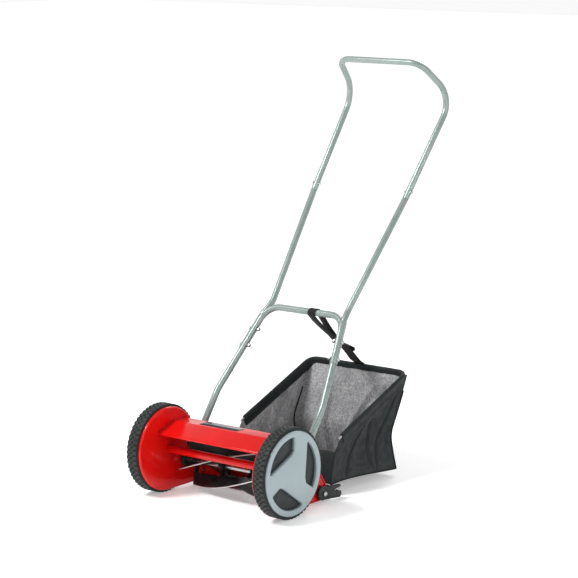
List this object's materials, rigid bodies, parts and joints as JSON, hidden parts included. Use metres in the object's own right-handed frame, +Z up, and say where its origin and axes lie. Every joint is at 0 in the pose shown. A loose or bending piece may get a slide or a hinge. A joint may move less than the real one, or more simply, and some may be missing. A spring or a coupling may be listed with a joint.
{
  "type": "reel mower",
  "caption": "Hand-pushed reel mower with spoked wheels, a helical cutting reel, rear roller, tubular push handle and a fabric grass bag.",
  "frame": {"origin": "middle of the ground footprint: centre of the bounding box in X and Y, on the ground", "axes": "+X across the machine to the operator's left, +Y back towards the operator, +Z up"},
  "size_m": [0.415, 0.7698, 0.9849],
  "materials": {
    "red_paint": "gloss",
    "label": "satin",
    "handle_paint": "satin",
    "tyre": "matte",
    "cap_silver": "satin",
    "wheel_plastic": "satin",
    "black_plastic": "satin",
    "blade_paint": "satin",
    "bag_fabric": "matte",
    "webbing": "matte",
    "wire": "satin",
    "ground_steel": "satin",
    "zinc_steel": "satin"
  },
  "bodies": {
    "frame": {"axle_nuts": "zinc_steel", "bag_fork_left": "black_plastic", "bag_fork_right": "black_plastic", "cap_nuts": "zinc_steel", "clamp_bolts": "zinc_steel", "cross_tube": "red_paint", "deck_cover": "red_paint", "deck_label": "label", "fork_screws": "zinc_steel", "height_clamp_bolts": "zinc_steel", "joint_screws": "zinc_steel", "knife_pivots": "zinc_steel", "leg_bolts": "zinc_steel", "lower_handle_arch": "handle_paint", "middle_tube_left": "handle_paint", "middle_tube_right": "handle_paint", "reel_bearing_left": "black_plastic", "reel_bearing_right": "black_plastic", "side_plate_left": "red_paint", "side_plate_right": "red_paint", "strap_upper": "webbing", "stub_axle_left": "zinc_steel", "stub_axle_right": "zinc_steel", "upper_handle": "handle_paint"},
    "reel": {"pinion_clips": "zinc_steel", "pinion_left": "zinc_steel", "pinion_right": "zinc_steel", "ratchet_keys": "zinc_steel", "reel_blade_1": "blade_paint", "reel_blade_2": "blade_paint", "reel_blade_3": "blade_paint", "reel_blade_4": "blade_paint", "reel_blade_5": "blade_paint", "reel_shaft": "zinc_steel", "reel_spider_1": "blade_paint", "reel_spider_2": "blade_paint", "reel_spider_3": "blade_paint", "reel_spider_4": "blade_paint"},
    "wheel_left": {"cap_inserts_left": "wheel_plastic", "tyre_left": "tyre", "wheel_cap_left": "cap_silver", "wheel_rim_left": "wheel_plastic"},
    "wheel_right": {"cap_inserts_right": "wheel_plastic", "tyre_right": "tyre", "wheel_cap_right": "cap_silver", "wheel_rim_right": "wheel_plastic"},
    "roller_carriage": {"roller_arm_left": "black_plastic", "roller_arm_right": "black_plastic", "roller_axle": "zinc_steel"},
    "roller": {"roller": "black_plastic"},
    "cutter_bar": {"bed_knife": "ground_steel", "bed_knife_carrier": "red_paint", "carrier_end_left": "red_paint", "carrier_end_right": "red_paint", "knife_screws": "zinc_steel"},
    "grass_bag": {"bag_body": "bag_fabric", "bag_rod": "wire", "bag_wire": "wire", "strap_lower": "webbing"}
  },
  "joints": [
    {"name": "reel_spin", "type": "hinge", "parent": "frame", "child": "reel", "pos_m": [0, -0.22077, 0.07002], "axis": [1, 0, 0], "continuous": true},
    {"name": "wheel_left_spin", "type": "hinge", "parent": "frame", "child": "wheel_left", "pos_m": [0.188, -0.28083, 0.104], "axis": [1, 0, 0], "continuous": true},
    {"name": "wheel_right_spin", "type": "hinge", "parent": "frame", "child": "wheel_right", "pos_m": [-0.188, -0.28083, 0.104], "axis": [1, 0, 0], "continuous": true},
    {"name": "roller_height", "type": "slide", "parent": "frame", "child": "roller_carriage", "axis": [0, 0, 1], "range_m": [-0.024, 0]},
    {"name": "roller_spin", "type": "hinge", "parent": "roller_carriage", "child": "roller", "pos_m": [0, -0.13683, 0.0225], "axis": [1, 0, 0], "continuous": true},
    {"name": "cutter_bar_tilt", "type": "hinge", "parent": "frame", "child": "cutter_bar", "pos_m": [0, -0.16883, 0.033], "axis": [1, 0, 0], "range_deg": [0, 2]},
    {"name": "bag_lift", "type": "hinge", "parent": "frame", "child": "grass_bag", "pos_m": [0, -0.08083, 0.023], "axis": [1, 0, 0], "range_deg": [0, 20]}
  ],
  "couplings": [
    {"joint": "wheel_left_spin", "follows": "reel_spin", "ratio": 0.14815},
    {"joint": "wheel_right_spin", "follows": "reel_spin", "ratio": 0.14815}
  ]
}
